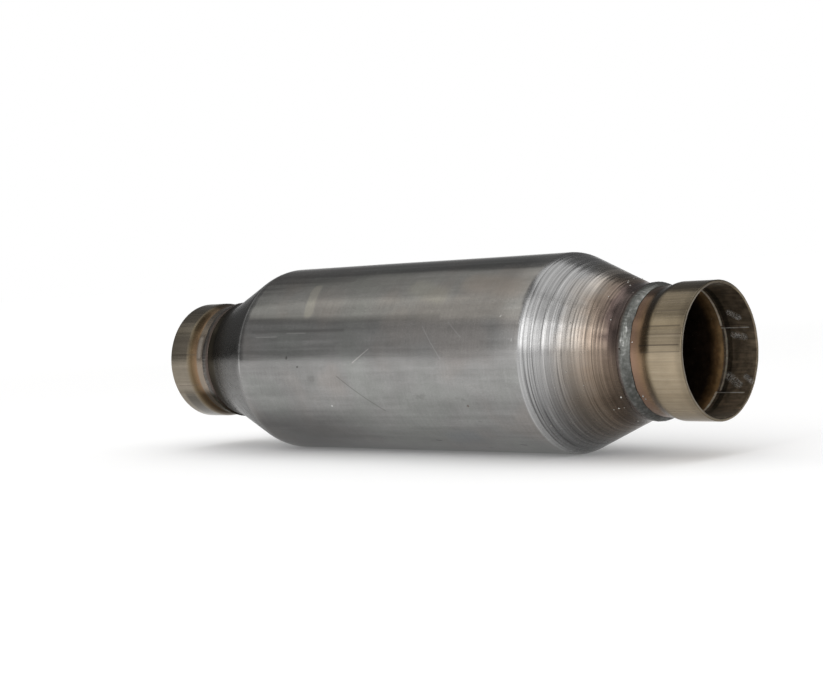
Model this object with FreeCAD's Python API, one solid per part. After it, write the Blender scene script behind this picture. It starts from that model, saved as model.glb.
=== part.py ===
import FreeCAD, Part
import math
import os

# Round stainless steel catalytic converter, in millimetres.
# The gas flows along X. The inlet is at +X, and +Z is up. The origin is on the axis, halfway
# between the two rims.

# Shell: one tube, with both ends spun down to a cone and a neck.
BODY_DIAMETER = 101.6
SHELL_WALL = 1.5
CHAMBER_LENGTH = 17.2    # from a brick's face to the corner where the cone starts
CONE_LENGTH = 40.0       # from that corner to the corner at the neck
NECK_LENGTH = 7.6        # from the corner at the neck to the cut end
THROAT_BEND = 13.0       # outer bend radius between cone and neck
NECK_CLEARANCE = 0.2     # radial, round the socket tube that the neck holds

# Sockets: a tube in each neck, stretched at its outer end to take the exhaust pipe.
PIPE_DIAMETER = 63.5     # the exhaust pipe that the socket takes, and the tube it's made of
SOCKET_WALL = 1.5
PIPE_CLEARANCE = 0.25    # radial, round the exhaust pipe
TUBE_OVERLAP = 9.0       # of the tube inside the neck
TUBE_STANDOFF = 10.0     # from the neck's end to the start of the stretched shoulder
SHOULDER_LENGTH = 5.4
SHOULDER_BEND = 8.0
RIM_BEVEL = 0.3

# Print of the stretching tool: six jaws, with a rib left inside at each gap between two jaws.
JAWS = 6
JAW_GAP = 1.5            # width of a rib
JAW_PRINT = 0.12         # depth of a jaw's print, so the height of a rib
JAW_TURN = 48.0          # degrees from the top to the first gap
JAW_STAGGER = (0.9, 0.3, 0.0, 1.8, 0.4, 1.2)    # from the shoulder's end to each print's end

# Weld beads: a fillet round each neck's end.
BEAD_ON_NECK = 2.5       # how far the bead covers the neck
BEAD_ON_TUBE = 4.4       # how far it covers the tube
BEAD_CROWN = 0.9         # height of the bead's curve above its chord
BEAD_GAP_FILL = 1.0      # how far the weld has run in between the neck and the tube

# Ceramic bricks, one behind the other, and what holds them.
BRICK_LENGTH = 76.2
BRICK_GAP = 12.0
BRICK_SKIN = 1.4
CELL_PITCH = 8.89        # one channel for a block of seven by seven real ones of 1.27 mm
CELL_WALL = 1.4
SMALLEST_CELL = 0.3      # share of a whole channel below which the skin closes it
MAT_THICKNESS = 3.8
SEAL_WIDTH = 5.0

# The two ends differ in the bend of the shell's corner and in the depth of the socket.
ENDS = {
    "inlet": {"side": 1, "corner_bend": 14.0, "socket_depth": 18.8},
    "outlet": {"side": -1, "corner_bend": 22.0, "socket_depth": 14.8},
}

# What follows from these sizes.
BODY_RADIUS = BODY_DIAMETER / 2
BODY_BORE = BODY_RADIUS - SHELL_WALL
TUBE_RADIUS = PIPE_DIAMETER / 2
NECK_BORE = TUBE_RADIUS + NECK_CLEARANCE
NECK_RADIUS = NECK_BORE + SHELL_WALL
SOCKET_BORE = TUBE_RADIUS + PIPE_CLEARANCE
SOCKET_RADIUS = SOCKET_BORE + SOCKET_WALL
BRICK_BACK_X = BRICK_GAP / 2
BRICK_FRONT_X = BRICK_BACK_X + BRICK_LENGTH
CORNER_X = BRICK_FRONT_X + CHAMBER_LENGTH
NECK_START_X = CORNER_X + CONE_LENGTH
NECK_END_X = NECK_START_X + NECK_LENGTH
TUBE_START_X = NECK_END_X - TUBE_OVERLAP
SHOULDER_START_X = NECK_END_X + TUBE_STANDOFF
SHOULDER_END_X = SHOULDER_START_X + SHOULDER_LENGTH
BRICK_RADIUS = BODY_BORE - MAT_THICKNESS

# The deeper socket moves the middle of the whole away from the middle of the body.
BODY_SHIFT = (ENDS["outlet"]["socket_depth"] - ENDS["inlet"]["socket_depth"]) / 2

X_AXIS = FreeCAD.Vector(1, 0, 0)
ORIGIN = FreeCAD.Vector(0, 0, 0)


def point(x, radius):
    """A point of a half-section: x along the axis, radius upwards."""
    return FreeCAD.Vector(x, 0, radius)


def bent_path(corners):
    """Edges through corners of (x, radius, bend radius), with a tangent arc at each bend."""
    edges = []
    start = point(*corners[0][:2])
    for before, here, after in zip(corners, corners[1:], corners[2:]):
        corner = point(*here[:2])
        back = (point(*before[:2]) - corner).normalize()
        on = (point(*after[:2]) - corner).normalize()
        half_angle = back.getAngle(on) / 2
        reach = here[2] / math.tan(half_angle)
        centre = corner + (back + on).normalize() * (here[2] / math.sin(half_angle))
        middle = centre + (corner - centre).normalize() * here[2]
        arc_start = corner + back * reach
        arc_end = corner + on * reach
        edges.append(Part.LineSegment(start, arc_start).toShape())
        edges.append(Part.Arc(arc_start, middle, arc_end).toShape())
        start = arc_end
    edges.append(Part.LineSegment(start, point(*corners[-1][:2])).toShape())
    return edges


def turned(edges):
    """The solid that a closed half-section sweeps round the X axis."""
    section = Part.Face(Part.Wire(edges))
    solid = section.revolve(ORIGIN, X_AXIS, 360)
    if solid.Volume < 0:
        solid.reverse()
    return solid


def closed(edges, back_edges):
    """Two paths that run side by side, joined at both ends into one outline."""
    ends = []
    for end in (0, -1):
        first = edges[end].Vertexes[end].Point
        second = back_edges[end].Vertexes[end].Point
        ends.append(Part.LineSegment(first, second).toShape())
    return Part.__sortEdges__(edges + back_edges + ends)


def sheet_corners(corners, wall):
    """The corners of a path one wall nearer the axis than a path of (x, radius, bend radius)."""
    inner = []
    for i, (x, radius, bend) in enumerate(corners):
        before = corners[max(i - 1, 0)]
        after = corners[min(i + 1, len(corners) - 1)]
        slope_in = math.atan2(radius - before[1], x - before[0]) if i > 0 else None
        slope_out = math.atan2(after[1] - radius, after[0] - x) if i < len(corners) - 1 else None
        if slope_in is None:
            slope_in = slope_out
        if slope_out is None:
            slope_out = slope_in
        middle = (slope_in + slope_out) / 2
        shift = wall / math.cos((slope_out - slope_in) / 2)
        turns_down = slope_out < slope_in
        inner_bend = bend - wall if turns_down else bend + wall
        inner.append((x + shift * math.sin(middle), radius - shift * math.cos(middle), inner_bend))
    return inner


def turned_sheet(corners, wall):
    """Sheet metal of one wall, turned round the axis, whose outer face follows the corners."""
    return turned(closed(bent_path(corners), bent_path(sheet_corners(corners, wall))))


def ring(x_from, x_to, inner_radius, outer_radius):
    """A plain ring round the axis."""
    outer = Part.makeCylinder(outer_radius, x_to - x_from, point(x_from, 0), X_AXIS)
    inner = Part.makeCylinder(inner_radius, x_to - x_from, point(x_from, 0), X_AXIS)
    return outer.cut(inner)


def shell():
    """The body with its two spun ends: one piece of sheet."""
    outlet_bend = ENDS["outlet"]["corner_bend"]
    inlet_bend = ENDS["inlet"]["corner_bend"]
    return turned_sheet([
        (-NECK_END_X, NECK_RADIUS, 0),
        (-NECK_START_X, NECK_RADIUS, THROAT_BEND),
        (-CORNER_X, BODY_RADIUS, outlet_bend),
        (CORNER_X, BODY_RADIUS, inlet_bend),
        (NECK_START_X, NECK_RADIUS, THROAT_BEND),
        (NECK_END_X, NECK_RADIUS, 0),
    ], SHELL_WALL)


def jaw_print(x_from, x_to, angle_from, angle_to):
    """What one jaw takes off the inside of the stretched wall, between two angles in degrees."""
    root = SOCKET_BORE - 2 * JAW_PRINT
    corners = [(x_from, root), (x_from, SOCKET_BORE), (x_to, SOCKET_BORE), (x_to, root)]
    outline = Part.makePolygon([point(x, radius) for x, radius in corners + corners[:1]])
    sector = Part.Face(outline).revolve(ORIGIN, X_AXIS, angle_to - angle_from)
    sector.rotate(ORIGIN, X_AXIS, angle_from)
    return sector


def socket(depth):
    """A socket on the +X side: the tube in the neck, its shoulder, and the stretched end."""
    rim_x = SHOULDER_END_X + depth
    outer = [
        (TUBE_START_X, TUBE_RADIUS, 0),
        (SHOULDER_START_X, TUBE_RADIUS, SHOULDER_BEND),
        (SHOULDER_END_X, SOCKET_RADIUS, SHOULDER_BEND),
        (rim_x, SOCKET_RADIUS, 0),
    ]
    inner = [(x, min(radius, SOCKET_BORE - JAW_PRINT), bend)
             for x, radius, bend in sheet_corners(outer, SOCKET_WALL)]
    tube = turned(closed(bent_path(outer), bent_path(inner)))
    bevel = Part.makeCone(SOCKET_RADIUS + RIM_BEVEL, SOCKET_RADIUS - RIM_BEVEL, 2 * RIM_BEVEL,
                          point(rim_x - RIM_BEVEL, 0), X_AXIS)
    beyond = ring(rim_x - RIM_BEVEL, rim_x + RIM_BEVEL, SOCKET_BORE, SOCKET_RADIUS + 2 * RIM_BEVEL)
    cuts = [beyond.cut(bevel)]
    half_gap = math.degrees(JAW_GAP / 2 / SOCKET_BORE)
    for jaw in range(JAWS):
        gap_angle = JAW_TURN + jaw * 360 / JAWS
        print_x = SHOULDER_END_X + JAW_STAGGER[jaw % len(JAW_STAGGER)]
        cuts.append(jaw_print(print_x, rim_x + RIM_BEVEL,
                              gap_angle + half_gap, gap_angle + 360 / JAWS - half_gap))
    return tube.cut(cuts)


def weld_bead():
    """The bead on the +X side, which fills the step from the neck to the tube."""
    toe = point(NECK_END_X - BEAD_ON_NECK, NECK_RADIUS)
    edge = point(NECK_END_X, NECK_RADIUS)
    mouth = point(NECK_END_X, NECK_BORE)
    root = point(NECK_END_X - BEAD_GAP_FILL, NECK_BORE)
    seat = point(NECK_END_X - BEAD_GAP_FILL, TUBE_RADIUS)
    foot = point(NECK_END_X + BEAD_ON_TUBE, TUBE_RADIUS)
    chord = foot - toe
    crown = (toe + foot) / 2 + FreeCAD.Vector(-chord.z, 0, chord.x).normalize() * BEAD_CROWN
    outline = Part.makePolygon([toe, edge, mouth, root, seat, foot]).Edges
    outline.append(Part.Arc(foot, crown, toe).toShape())
    return turned(outline)


def brick_channels(radius):
    """The outlines of the channels that a round brick has inside its skin, in the YZ plane."""
    inside = Part.Face(Part.Wire(Part.makeCircle(radius, ORIGIN, X_AXIS)))
    side = CELL_PITCH - CELL_WALL
    reach = math.ceil(radius / CELL_PITCH)
    outlines = []
    for row in range(-reach, reach + 1):
        for column in range(-reach, reach + 1):
            low_y = column * CELL_PITCH - side / 2
            low_z = row * CELL_PITCH - side / 2
            corners = [(low_y, low_z), (low_y + side, low_z), (low_y + side, low_z + side),
                       (low_y, low_z + side)]
            square = Part.makePolygon([FreeCAD.Vector(0, y, z) for y, z in corners + corners[:1]])
            if max(math.hypot(y, z) for y, z in corners) < radius:
                outlines.append(square)
            elif min(math.hypot(y, z) for y, z in corners) < radius:
                open_part = Part.Face(square).common(inside)
                if open_part.Area > SMALLEST_CELL * side ** 2:
                    outlines.append(open_part.Faces[0].OuterWire)
    return outlines


def brick():
    """The brick on the +X side: a round skin full of square channels."""
    skin = Part.Wire(Part.makeCircle(BRICK_RADIUS, ORIGIN, X_AXIS))
    channels = brick_channels(BRICK_RADIUS - BRICK_SKIN)
    face = Part.makeFace([skin] + channels, "Part::FaceMakerBullseye")
    solid = face.extrude(FreeCAD.Vector(BRICK_LENGTH, 0, 0))
    solid.translate(FreeCAD.Vector(BRICK_BACK_X, 0, 0))
    return solid


def placed(shape, side):
    """A piece made on the +X side, put at its own end of the body."""
    if side < 0:
        shape = shape.mirror(ORIGIN, X_AXIS)
    shape.translate(FreeCAD.Vector(BODY_SHIFT, 0, 0))
    return shape


def pieces():
    parts = {"shell": placed(shell(), 1)}
    mat_back_x = BRICK_BACK_X + SEAL_WIDTH
    mat_front_x = BRICK_FRONT_X - SEAL_WIDTH
    for end, sizes in ENDS.items():
        made = {
            "socket": socket(sizes["socket_depth"]),
            "weld": weld_bead(),
            "substrate": brick(),
            "mat": ring(mat_back_x, mat_front_x, BRICK_RADIUS, BODY_BORE),
            "outer_seal": ring(mat_front_x, BRICK_FRONT_X, BRICK_RADIUS, BODY_BORE),
            "inner_seal": ring(BRICK_BACK_X, mat_back_x, BRICK_RADIUS, BODY_BORE),
        }
        for name, shape in made.items():
            parts[f"{end}_{name}"] = placed(shape, sizes["side"])
    return parts


os.makedirs("parts", exist_ok=True)
for node, shape in pieces().items():
    if not shape.isValid() or shape.Volume <= 0:
        raise ValueError(f"{node} isn't a valid solid")
    shape.exportStep(f"parts/{node}.step")
    print(f"{node}: {len(shape.Solids)} solid, {shape.Volume / 1000:.2f} cm3")
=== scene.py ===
"""Looks of a round spun steel catalytic converter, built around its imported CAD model.

Everything is in metres in the row frame: X is the axis, with the inlet at +X, and Z is up.
Lengths named in millimetres are turned into metres by MM. Places along the axis are counted from
the middle of the body, and angles round it go from -Y, which faces the viewer, up towards +Z.
"""

import math

import bmesh
import bpy
import numpy as np
from mathutils import Matrix, Vector


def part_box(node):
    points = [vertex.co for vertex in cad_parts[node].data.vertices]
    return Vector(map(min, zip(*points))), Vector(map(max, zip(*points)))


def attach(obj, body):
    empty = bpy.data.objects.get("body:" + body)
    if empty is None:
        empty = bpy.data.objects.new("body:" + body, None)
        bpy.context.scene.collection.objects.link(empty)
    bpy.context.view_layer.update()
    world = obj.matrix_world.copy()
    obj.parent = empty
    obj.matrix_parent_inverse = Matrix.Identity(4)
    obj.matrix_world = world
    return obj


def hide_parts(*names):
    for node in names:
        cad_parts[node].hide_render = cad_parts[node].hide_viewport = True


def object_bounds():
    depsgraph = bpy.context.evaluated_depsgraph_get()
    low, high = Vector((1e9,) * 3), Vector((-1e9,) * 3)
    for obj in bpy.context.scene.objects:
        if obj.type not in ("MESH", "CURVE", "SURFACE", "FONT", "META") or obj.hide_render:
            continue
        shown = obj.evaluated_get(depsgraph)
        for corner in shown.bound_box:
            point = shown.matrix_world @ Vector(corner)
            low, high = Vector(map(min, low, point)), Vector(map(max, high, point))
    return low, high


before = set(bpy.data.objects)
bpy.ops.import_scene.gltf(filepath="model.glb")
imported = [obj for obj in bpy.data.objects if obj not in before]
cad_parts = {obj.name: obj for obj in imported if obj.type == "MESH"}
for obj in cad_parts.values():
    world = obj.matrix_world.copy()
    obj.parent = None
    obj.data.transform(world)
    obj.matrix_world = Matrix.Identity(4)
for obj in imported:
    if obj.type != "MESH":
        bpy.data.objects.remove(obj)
CAD_BOX = [list(corner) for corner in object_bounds()]

MM = 0.001
TURN = 2 * math.pi
SEGMENTS = 216            # steps round the axis

# Sizes of the sheet and the tubes, in millimetres, as the CAD model has them.
WALL = 1.5
CORNER_X = 99.4
NECK_START_X = 139.4
NECK_RADIUS = 33.45
TUBE_RADIUS = 31.75
THROAT_BEND = 13.0
CORNER_BEND = {"inlet": 14.0, "outlet": 22.0}
SIDE = {"inlet": 1, "outlet": -1}
SHOULDER_LENGTH = 5.4
SHOULDER_BEND = 8.0
TUBE_STANDOFF = 10.0
TUBE_OVERLAP = 9.0
RIM_ROUND = 0.3
JAWS = 6
JAW_GAP = 1.5
JAW_PRINT = 0.12
JAW_TURN = 48.0
JAW_STAGGER = (0.9, 0.3, 0.0, 1.8, 0.4, 1.2)
BEAD_ON_NECK = 2.5
BEAD_ON_TUBE = 4.4
BEAD_CROWN = 0.9
BEAD_SEGMENTS = 720
BEAD_RIPPLES = 104
CELL_PITCH = 1.27
CELL_WALL = 0.17
BRICK_EDGE = 0.35           # how far inside the brick's outline its cells stop
BRICK_TURN = {"inlet": 8, "outlet": 31}
SHEET_WAVES = 0.05          # how far the shell and the sockets are from truly round
TUBE_WAVES = 0.03
RIM_BURR = 0.05

# Seeds of the random draws.
SHEET_SEED = 21
TUBE_SEED = {"inlet": 31, "outlet": 32}
BURR_SEED = {"inlet": 33, "outlet": 34}
BEAD_SEED = {"inlet": 41, "outlet": 46}
SPATTER_SEED = 71

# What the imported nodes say.
shell_low, shell_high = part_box("shell")
MIDDLE = (shell_low.x + shell_high.x) / 2 / MM
BODY_RADIUS = shell_high.z / MM
NECK_END_X = shell_high.x / MM - MIDDLE
SOCKET_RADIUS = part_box("inlet_socket")[1].z / MM
BRICK_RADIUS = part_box("inlet_substrate")[1].z / MM
SOCKET_BORE = SOCKET_RADIUS - WALL
RIM_X = {
    "inlet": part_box("inlet_socket")[1].x / MM - MIDDLE,
    "outlet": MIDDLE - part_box("outlet_socket")[0].x / MM,
}
SHOULDER_START_X = NECK_END_X + TUBE_STANDOFF
SHOULDER_END_X = SHOULDER_START_X + SHOULDER_LENGTH


# ---------------------------------------------------------------- shapes

def bent_path(corners, bend_steps=10, step=None):
    """Points (x, r) through corners of (x, r, bend radius), with an arc at each bend."""
    points = [np.array(corners[0][:2], float)]
    for before, here, after in zip(corners, corners[1:], corners[2:]):
        corner = np.array(here[:2], float)
        back = np.array(before[:2], float) - corner
        on = np.array(after[:2], float) - corner
        back /= np.linalg.norm(back)
        on /= np.linalg.norm(on)
        half = math.acos(float(np.clip(back @ on, -1, 1))) / 2
        reach = here[2] / math.tan(half)
        middle = (back + on) / np.linalg.norm(back + on)
        centre = corner + middle * here[2] / math.sin(half)
        first = corner + back * reach - centre
        last = corner + on * reach - centre
        for share in np.linspace(0, 1, bend_steps):
            spoke = first * (1 - share) + last * share
            points.append(centre + spoke / np.linalg.norm(spoke) * here[2])
    points.append(np.array(corners[-1][:2], float))
    if step is None:
        return np.array(points)
    fine = [points[0]]
    for start, end in zip(points, points[1:]):
        length = np.linalg.norm(end - start)
        count = max(1, int(round(length / step((start[0] + end[0]) / 2))))
        for i in range(1, count + 1):
            fine.append(start + (end - start) * i / count)
    return np.array(fine)


def offset_corners(corners, wall):
    """The corners of a path one wall nearer the axis than a path of (x, r, bend radius)."""
    inner = []
    for i, (x, r, bend) in enumerate(corners):
        before = corners[max(i - 1, 0)]
        after = corners[min(i + 1, len(corners) - 1)]
        slope_in = math.atan2(r - before[1], x - before[0]) if i > 0 else None
        slope_out = math.atan2(after[1] - r, after[0] - x) if i < len(corners) - 1 else None
        slope_in = slope_out if slope_in is None else slope_in
        slope_out = slope_in if slope_out is None else slope_out
        middle = (slope_in + slope_out) / 2
        shift = wall / math.cos((slope_out - slope_in) / 2)
        new_bend = bend - wall if slope_out < slope_in else bend + wall
        inner.append((x + shift * math.sin(middle), r - shift * math.cos(middle), new_bend))
    return inner


def waves(count, highest, seed):
    """A smooth function of the angle round the axis, about -1 to 1, that closes on itself."""
    draw = np.random.default_rng(seed)
    turns = draw.integers(1, highest + 1, count)
    phases = draw.uniform(0, TURN, count)
    sizes = draw.uniform(0.4, 1.0, count) / np.sqrt(turns)
    sizes /= np.sqrt((sizes ** 2).sum() / 2) * 1.6
    return lambda angle: sum(s * np.sin(t * angle + p) for s, t, p in zip(sizes, turns, phases))


def wander(count, lowest, highest, seed):
    """A rough function of (along, angle), about -1 to 1, that closes on itself round the axis.
    The waves have from lowest to highest turns round the axis, and as many along it."""
    draw = np.random.default_rng(seed)
    turns = draw.integers(lowest, highest + 1, count)
    along = draw.uniform(-highest, highest, count)
    phases = draw.uniform(0, TURN, count)

    def height(u, angle):
        total = sum(np.sin(t * angle + a * u + p) for t, a, p in zip(turns, along, phases))
        return total / math.sqrt(count / 2) / 1.6
    return height


def mesh_object(name, points, faces, material, smooth=True):
    """A new piece from points in millimetres from the middle of the body."""
    mesh = bpy.data.meshes.new(name)
    place = np.asarray(points, float).copy()
    place[:, 0] += MIDDLE
    mesh.from_pydata((place * MM).tolist(), [], [list(map(int, f)) for f in faces])
    mesh.validate()
    if smooth:
        mesh.shade_smooth()
    mesh.materials.append(material)
    piece = bpy.data.objects.new(name, mesh)
    bpy.context.scene.collection.objects.link(piece)
    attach(piece, "root")
    return piece


def on_circle(x, r, angle):
    """Points at x along the axis, r from it, and an angle round it."""
    return np.stack([x, -r * np.cos(angle), r * np.sin(angle)], axis=-1)


def turned_grid(name, profile, shift, material, side=1, segments=SEGMENTS, sharp=()):
    """A ring-shaped solid: a closed half-section (x, r) swept round the axis.
    shift(x, r, angle, row) gives how far each point moves along the axis and out from it.
    sharp lists the rows of the half-section that stay hard edges."""
    rows = len(profile)
    angle = np.arange(segments) * TURN / segments
    x = np.repeat(profile[:, :1], segments, axis=1)
    r = np.repeat(profile[:, 1:], segments, axis=1)
    round_angle = np.repeat(angle[None, :], rows, axis=0)
    row = np.repeat(np.arange(rows)[:, None], segments, axis=1)
    along, out = shift(x, r, round_angle, row)
    x, r = x + along, r + out
    points = on_circle(side * x, r, round_angle).reshape(-1, 3)
    faces = []
    for i in range(rows):
        j = (i + 1) % rows
        for k in range(segments):
            m = (k + 1) % segments
            quad = (i * segments + k, j * segments + k, j * segments + m, i * segments + m)
            faces.append(quad if side > 0 else quad[::-1])
    piece = mesh_object(name, points, faces, material)
    if len(sharp):
        marked = set()
        for i in sharp:
            for k in range(segments):
                marked.add(frozenset((i * segments + k, i * segments + (k + 1) % segments)))
        mesh = piece.data
        flags = [frozenset(e.vertices) in marked for e in mesh.edges]
        attribute = mesh.attributes.get("sharp_edge")
        if attribute is None:
            attribute = mesh.attributes.new("sharp_edge", "BOOLEAN", "EDGE")
        attribute.data.foreach_set("value", flags)
    return piece


def loop(outer, inner):
    """A closed half-section from two paths that run side by side, both towards +X."""
    return np.concatenate([outer, inner[::-1]])


# ---------------------------------------------------------------- materials

class Nodes:
    """The node tree of a material or a world, and short ways to add nodes to it."""

    def __init__(self, owner):
        owner.use_nodes = True
        self.tree = owner.node_tree
        self.tree.nodes.clear()

    def node(self, kind, inputs=(), **settings):
        made = self.tree.nodes.new(kind)
        for key, value in settings.items():
            setattr(made, key, value)
        for key, value in dict(inputs).items():
            self.put(made.inputs[key], value)
        return made

    def put(self, socket, value):
        if isinstance(value, bpy.types.NodeSocket):
            self.tree.links.new(value, socket)
        else:
            socket.default_value = value

    def maths(self, operation, *values, clamp=False):
        made = self.node("ShaderNodeMath", operation=operation, use_clamp=clamp)
        for socket, value in zip(made.inputs, values):
            self.put(socket, value)
        return made.outputs[0]

    def vector(self, operation, *values, scale=None):
        made = self.node("ShaderNodeVectorMath", operation=operation)
        for socket, value in zip(made.inputs, values):
            self.put(socket, value)
        if scale is not None:
            self.put(made.inputs["Scale"], scale)
        gives_number = operation in ("LENGTH", "DISTANCE", "DOT_PRODUCT")
        return made.outputs["Value" if gives_number else "Vector"]

    def product(self, first, *others):
        """All the numbers multiplied together."""
        for value in others:
            first = self.maths("MULTIPLY", first, value)
        return first

    def span(self, value, low, high, to_low=0.0, to_high=1.0, smooth=True):
        """value from low to high, turned into to_low to to_high, and held at the ends."""
        made = self.node("ShaderNodeMapRange", clamp=True,
                         interpolation_type="SMOOTHSTEP" if smooth else "LINEAR")
        for key, number in zip(("Value", "From Min", "From Max", "To Min", "To Max"),
                               (value, low, high, to_low, to_high)):
            self.put(made.inputs[key], number)
        return made.outputs["Result"]

    def mix(self, share, first, second):
        """first where share is 0, and second where it is 1."""
        made = self.node("ShaderNodeMix", data_type="RGBA")
        self.put(made.inputs[0], share)
        for socket, value in ((made.inputs[6], first), (made.inputs[7], second)):
            self.put(socket, value if isinstance(value, bpy.types.NodeSocket) else (*value, 1.0))
        return made.outputs[2]

    def ramp(self, value, *stops):
        """Colours along value: stops of (place, (r, g, b))."""
        made = self.node("ShaderNodeValToRGB", {0: value})
        elements = made.color_ramp.elements
        while len(elements) < len(stops):
            elements.new(0.5)
        for element, (position, colour) in zip(elements, stops):
            element.position = position
            element.color = (*colour, 1.0)
        return made.outputs["Color"]

    def seen(self, *kinds):
        """1 for rays of these kinds, and 0 for all others."""
        rays = self.node("ShaderNodeLightPath").outputs
        found = rays[f"Is {kinds[0]} Ray"]
        for kind in kinds[1:]:
            found = self.maths("MAXIMUM", found, rays[f"Is {kind} Ray"])
        return found


class Surface(Nodes):
    """A material, and the nodes that make its finish from the place on the object."""

    def __init__(self, name, radius=BODY_RADIUS):
        self.material = bpy.data.materials.new(name)
        super().__init__(self.material)
        self.shader = self.node("ShaderNodeBsdfPrincipled")
        self.node("ShaderNodeOutputMaterial", {"Surface": self.shader.outputs[0]})
        place = self.node("ShaderNodeTexCoord").outputs["Object"]
        millimetres = self.vector("SCALE", place, scale=1 / MM)
        self.here = self.vector("SUBTRACT", millimetres, (MIDDLE, 0, 0))
        self.x, y, z = self.node("ShaderNodeSeparateXYZ", {0: self.here}).outputs
        self.angle = self.maths("ARCTAN2", z, self.maths("MULTIPLY", y, -1.0))
        lift = self.maths("ARCTAN2", z, self.maths("ABSOLUTE", y))
        self.lift = self.maths("MULTIPLY", lift, math.degrees(1))    # 90 on top, -90 below
        self.radius = radius
        self.arc = self.maths("MULTIPLY", self.angle, radius)

    def noise(self, scale, detail=3.0, roughness=0.55, distortion=0.0):
        """Noise of about 0 to 1. scale is per millimetre, one number or one for each axis."""
        stretch = (scale,) * 3 if isinstance(scale, (int, float)) else scale
        where = self.vector("MULTIPLY", self.here, stretch)
        made = self.node("ShaderNodeTexNoise", {"Vector": where, "Scale": 1.0, "Detail": detail,
                                                "Roughness": roughness, "Distortion": distortion})
        return made.outputs["Fac"]

    def grey(self, colour, value):
        """colour times a number, below 1 for darker and above 1 for lighter."""
        return self.vector("SCALE", colour, scale=value)

    def shaded(self, colour, share, *where):
        """colour made darker by a share where all the numbers of where are 1."""
        return self.grey(colour, self.maths("SUBTRACT", 1.0, self.product(share, *where)))

    def lightened(self, colour, *where):
        """colour made lighter by as much as the numbers of where give when multiplied."""
        return self.grey(colour, self.maths("ADD", 1.0, self.product(*where)))

    def line(self, x, angle, to_x, to_angle, width, soft=0.25):
        """1 on a line between two places on the surface, 0 beside it."""
        start = (x, math.radians(angle) * self.radius, 0.0)
        reach = (to_x - x, math.radians(to_angle) * self.radius - start[1], 0.0)
        where = self.node("ShaderNodeCombineXYZ", {0: self.x, 1: self.arc}).outputs[0]
        away = self.vector("SUBTRACT", where, start)
        length = max(reach[0] ** 2 + reach[1] ** 2, 1e-6)
        along = self.maths("DIVIDE", self.vector("DOT_PRODUCT", away, reach), length, clamp=True)
        foot = self.vector("SCALE", reach, scale=along)
        distance = self.vector("DISTANCE", away, foot)
        return self.span(distance, width / 2, width / 2 + soft, 1.0, 0.0)

    def marked(self, colour, marks):
        """colour with marks (x, angle, to x, to angle, width, softness, strength, colour) on it."""
        for *place, strength, paint in marks:
            colour = self.mix(self.maths("MULTIPLY", self.line(*place), strength), colour, paint)
        return colour

    def bumps(self, *layers):
        """Bumps from (height, depth in millimetres) laid over each other."""
        normal = None
        for height, depth in layers:
            inputs = {"Height": height, "Strength": 1.0, "Distance": depth * MM}
            if normal is not None:
                inputs["Normal"] = normal
            normal = self.node("ShaderNodeBump", inputs).outputs[0]
        self.put(self.shader.inputs["Normal"], normal)

    def finish(self, colour, roughness, metallic=1.0, anisotropy=0.0):
        self.put(self.shader.inputs["Base Color"], colour)
        self.put(self.shader.inputs["Roughness"], roughness)
        self.shader.inputs["Metallic"].default_value = metallic
        if anisotropy:
            self.shader.inputs["Anisotropic"].default_value = anisotropy
            self.shader.inputs["Anisotropic Rotation"].default_value = 0.25
            tangent = self.node("ShaderNodeTangent", direction_type="RADIAL", axis="X")
            self.put(self.shader.inputs["Tangent"], tangent.outputs[0])
        return self.material


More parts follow.
